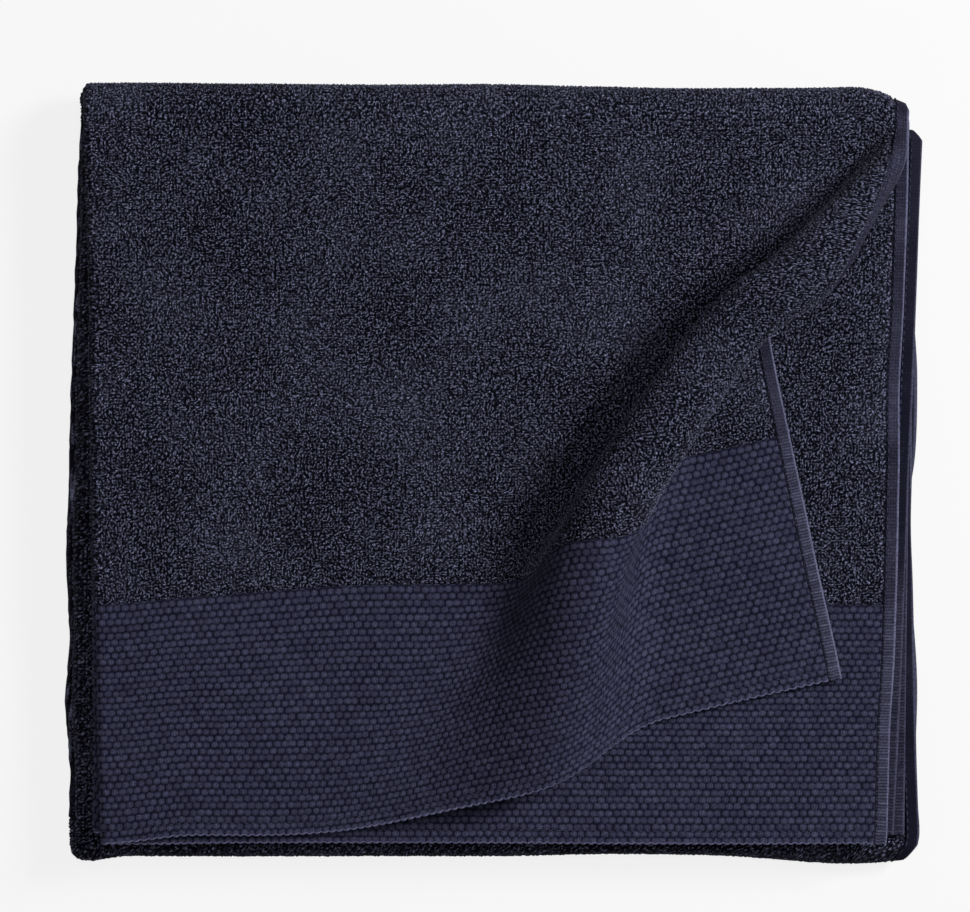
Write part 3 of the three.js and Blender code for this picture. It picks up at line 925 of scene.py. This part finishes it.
class TOWEL_OT_end_hems(bpy.types.Operator):
    """Turn the hems of the towel's two ends, with their scalloped lips"""
    bl_idname = "towel.end_hems"
    bl_label = "End hems"

    def execute(self, context):
        settings = context.scene.towel_cloth
        lip, fine = 1.4 * MM, 0.45 * MM
        stops = run(0, fine / 2, lip, fine, END_HEM)
        for flap, spacing, along, nodes in (
            (OUTER, fine, stops, ["top_leaf_end_hem", "seventh_leaf_end_hem"]),
            (INNER, settings.plain_mesh, S_END - stops[::-1],
             ["fifth_leaf_end_hem", "sixth_leaf_end_hem"]),
        ):
            grid = (run(-CLOTH_EDGE, spacing, CLOTH_EDGE), along)
            piece = cloth_sheet(
                f"{flap}_end_hem", grid, grid, end_hem_half, lip_heights,
                0.8 * settings.cell_depth, finish("Cell Weave"),
            )
            carried(piece, flap, "hem_cloth", *nodes)
        return {"FINISHED"}


class TOWEL_OT_borders(bpy.types.Operator):
    """Weave the flat border at each end of the towel"""
    bl_idname = "towel.borders"
    bl_label = "Borders"

    def execute(self, context):
        settings = context.scene.towel_cloth
        start, end = S_END - BORDER_END, S_END - END_HEM
        fine = run(END_HEM, 0.46 * MM, BORDER_END)
        over, under = run(start, settings.plain_mesh, end), run(start, BACK_SPACING, end)
        for flap, (outer, inner), face, back, leaves, beneath in (
            (OUTER, outer_flap_stops(), fine, fine, ("top", "seventh"), "fifth_leaf_border"),
            (INNER, hidden_stops(), over, under, ("fifth", "sixth"), "fourth_leaf_terry"),
        ):
            piece = cloth_sheet(
                f"{flap}_border_cloth", (outer, face), (inner, back), border_half, cell_heights,
                settings.cell_depth, finish("Cell Weave"),
            )
            nodes = [f"{leaf}_leaf_border" for leaf in leaves]
            carried(piece, flap, "border_cloth", *nodes, f"{flap}_border_fold")
        return {"FINISHED"}


class TOWEL_OT_outer_flap_pile(bpy.types.Operator):
    """Lay the outer flap's pile cloth, with the pleat across its top leaf"""
    bl_idname = "towel.outer_flap_pile"
    bl_label = "Outer flap pile"

    def execute(self, context):
        fine = context.scene.towel_cloth.pile_mesh
        outer, inner = outer_flap_stops()
        over = run(BORDER_END, fine, S_APEX)
        under = run(BORDER_END, fine, S_BACK, 0.9 * MM, S_APEX)
        piece = pile_sheet(
            "outer_flap_pile_cloth", (outer, over), (inner, under), "outer_back_fold",
            "top_leaf_terry", "seventh_leaf_terry", "outer_flap_side_fold",
        )
        return {"FINISHED"}


class TOWEL_OT_inner_flap_pile(bpy.types.Operator):
    """Lay the inner flap's pile cloth and its fold at the back"""
    bl_idname = "towel.inner_flap_pile"
    bl_label = "Inner flap pile"

    def execute(self, context):
        plain = context.scene.towel_cloth.plain_mesh
        outer, inner = hidden_stops()
        over = run(S_INNER_FLAP, plain, S_END - BORDER_END)
        under = run(S_INNER_FLAP, BACK_SPACING, S_END - BORDER_END)
        piece = pile_sheet(
            "inner_flap_pile_cloth", (outer, over), (inner, under), INNER,
            "fifth_leaf_terry", "sixth_leaf_terry", "inner_flap_side_fold",
        )
        stops = run(S_INNER, plain, S_INNER_FLAP)
        piece = pile_sheet(
            "inner_back_fold_cloth", (outer, stops), (inner, stops), "inner_back_fold",
            "inner_back_fold_outside", "inner_back_fold_inside", "inner_back_fold_corner",
        )
        return {"FINISHED"}


class TOWEL_OT_lower_half_pile(bpy.types.Operator):
    """Lay the lower half's pile cloth, from the back fold under the stack and over itself"""
    bl_idname = "towel.lower_half_pile"
    bl_label = "Lower half pile"

    def execute(self, context):
        _, plain, hidden = meshes()
        outer = run(-CLOTH_EDGE, hidden, -8 * MM, plain, CLOTH_EDGE)
        over = run(
            S_APEX, plain, S_LOWER, hidden, S_FRONT - 12 * MM, plain, S_UPPER + 12 * MM,
            1.1 * plain, S_INNER,
        )
        inner = hidden_stops()[1]
        under = run(S_APEX, 1.1 * MM, S_LOWER, 1.1 * MM, S_INNER)
        piece = pile_sheet(
            "lower_half_pile_cloth", (outer, over), (inner, under), "lower_back_fold",
            *[f"{n}_leaf_terry" for n in LEAF_NAMES[:4]],
            "bottom_pair_side_fold", "middle_pair_side_fold",
            *[f"{fold}_{part}" for fold in ("front_fold", "outer_back_fold")
              for part in ("outside", "inside", "corner")],
        )
        return {"FINISHED"}


# ---- Stage ----

FLOOR_Z = -0.6 * MM  # clear of the loops that reach below the cloth's straight underside
FLOOR_TONE = 0.05  # dark, since most of the floor's light is its own
ROOM_TONE = 0.93  # of the room behind the floor
SENSOR_WIDTH = 36  # millimetres
CAMERA_SHIFT = (-4.3 * MM, 7.1 * MM)  # from the middle of the towel


def backdrop_material(name, tone, light):
    """A matt finish that also gives light of its own."""
    material = bpy.data.materials.new(name)
    material.use_nodes = True
    shader = material.node_tree.nodes["Principled BSDF"]
    shader.inputs["Base Color"].default_value = (tone, tone, tone, 1)
    shader.inputs["Roughness"].default_value = 1
    shader.inputs["Specular IOR Level"].default_value = 0
    shader.inputs["Emission Color"].default_value = (1, 1, 1, 1)
    shader.inputs["Emission Strength"].default_value = light
    return material


def soft_light(name, place, size, power):
    """A round soft light that points at the middle of the towel's floor."""
    lamp = bpy.data.lights.new(name, "AREA")
    lamp.shape, lamp.size, lamp.energy = "DISK", size, power
    light = bpy.data.objects.new(name, lamp)
    light.location = place
    light.rotation_euler = (-Vector(place)).to_track_quat("-Z", "Y").to_euler()
    bpy.context.scene.collection.objects.link(light)


class TOWEL_OT_stage(bpy.types.Operator):
    """Set out the floor, the soft lights and a camera that looks straight down"""
    bl_idname = "towel.stage"
    bl_label = "Stage"

    def execute(self, context):
        settings = context.scene.towel_stage
        mesh = bpy.data.meshes.new("floor")
        corners = [(4, 4), (-4, 4), (-4, -4), (4, -4)]
        mesh.from_pydata([(x, y, FLOOR_Z) for x, y in corners], [], [(0, 1, 2, 3)])
        floor = bpy.data.objects.new("floor", mesh)
        context.scene.collection.objects.link(floor)
        mesh.materials.append(backdrop_material("Pale Floor", FLOOR_TONE, settings.floor_light))
        world = bpy.data.worlds.new("Room")
        world.use_nodes = True
        tree = world.node_tree
        fill, seen = tree.nodes["Background"], tree.nodes.new("ShaderNodeBackground")
        fill.inputs["Color"].default_value = seen.inputs["Color"].default_value = (1, 1, 1, 1)
        fill.inputs["Strength"].default_value = settings.fill
        seen.inputs["Strength"].default_value = ROOM_TONE
        rays, mix = tree.nodes.new("ShaderNodeLightPath"), tree.nodes.new("ShaderNodeMixShader")
        tree.links.new(rays.outputs["Is Camera Ray"], mix.inputs[0])
        tree.links.new(fill.outputs[0], mix.inputs[1])
        tree.links.new(seen.outputs[0], mix.inputs[2])
        tree.links.new(mix.outputs[0], tree.nodes["World Output"].inputs["Surface"])
        context.scene.world = world
        soft_light("key", (1.45, 0.7, 1.4), 0.6, settings.key_power)
        soft_light("overhead", (0.1, 0.3, 2.9), 0.8, settings.overhead_power)
        camera = bpy.data.cameras.new("camera")
        camera.lens, camera.sensor_width = settings.lens, SENSOR_WIDTH
        camera.clip_start, camera.clip_end = 0.05, 50
        viewer = bpy.data.objects.new("camera", camera)
        middle_x = (cad_low[0] + cad_high[0]) / 2 + CAMERA_SHIFT[0]
        middle_y = (cad_low[1] + cad_high[1]) / 2 + CAMERA_SHIFT[1]
        away = settings.frame_width * settings.lens / SENSOR_WIDTH
        viewer.location = (middle_x, middle_y, AXIS_Z + 2 * PITCH + away)
        context.scene.collection.objects.link(viewer)
        context.scene.camera = viewer
        context.scene.view_settings.view_transform = "Standard"
        return {"FINISHED"}


class TOWEL_PT_panel(bpy.types.Panel):
    """The towel's pieces and its settings"""
    bl_label = "Towel"
    bl_idname = "TOWEL_PT_panel"
    bl_space_type = "VIEW_3D"
    bl_region_type = "UI"
    bl_category = "Towel"

    def draw(self, context):
        for operator in OPERATORS:
            self.layout.operator(operator.bl_idname)
        scene = context.scene
        for settings in (scene.towel_cloth, scene.towel_colours, scene.towel_stage):
            for title in settings.bl_rna.properties.keys():
                if title not in ("rna_type", "name"):
                    self.layout.prop(settings, title)


OPERATORS = (
    TOWEL_OT_stage,
    TOWEL_OT_seam_threads,
    TOWEL_OT_side_hems,
    TOWEL_OT_end_hems,
    TOWEL_OT_borders,
    TOWEL_OT_outer_flap_pile,
    TOWEL_OT_inner_flap_pile,
    TOWEL_OT_lower_half_pile,
)
CLASSES = (
    TowelClothSettings, TowelColourSettings, TowelStageSettings, *OPERATORS, TOWEL_PT_panel,
)


def register():
    for cls in CLASSES:
        bpy.utils.register_class(cls)
    bpy.types.Scene.towel_cloth = bpy.props.PointerProperty(type=TowelClothSettings)
    bpy.types.Scene.towel_colours = bpy.props.PointerProperty(type=TowelColourSettings)
    bpy.types.Scene.towel_stage = bpy.props.PointerProperty(type=TowelStageSettings)


def unregister():
    del bpy.types.Scene.towel_cloth
    del bpy.types.Scene.towel_colours
    del bpy.types.Scene.towel_stage
    for cls in reversed(CLASSES):
        bpy.utils.unregister_class(cls)


def main():
    register()
    bpy.ops.towel.stage()
    bpy.ops.towel.seam_threads()
    bpy.ops.towel.side_hems()
    bpy.ops.towel.end_hems()
    bpy.ops.towel.borders()
    bpy.ops.towel.outer_flap_pile()
    bpy.ops.towel.inner_flap_pile()
    bpy.ops.towel.lower_half_pile()


if __name__ == "__main__":
    main()
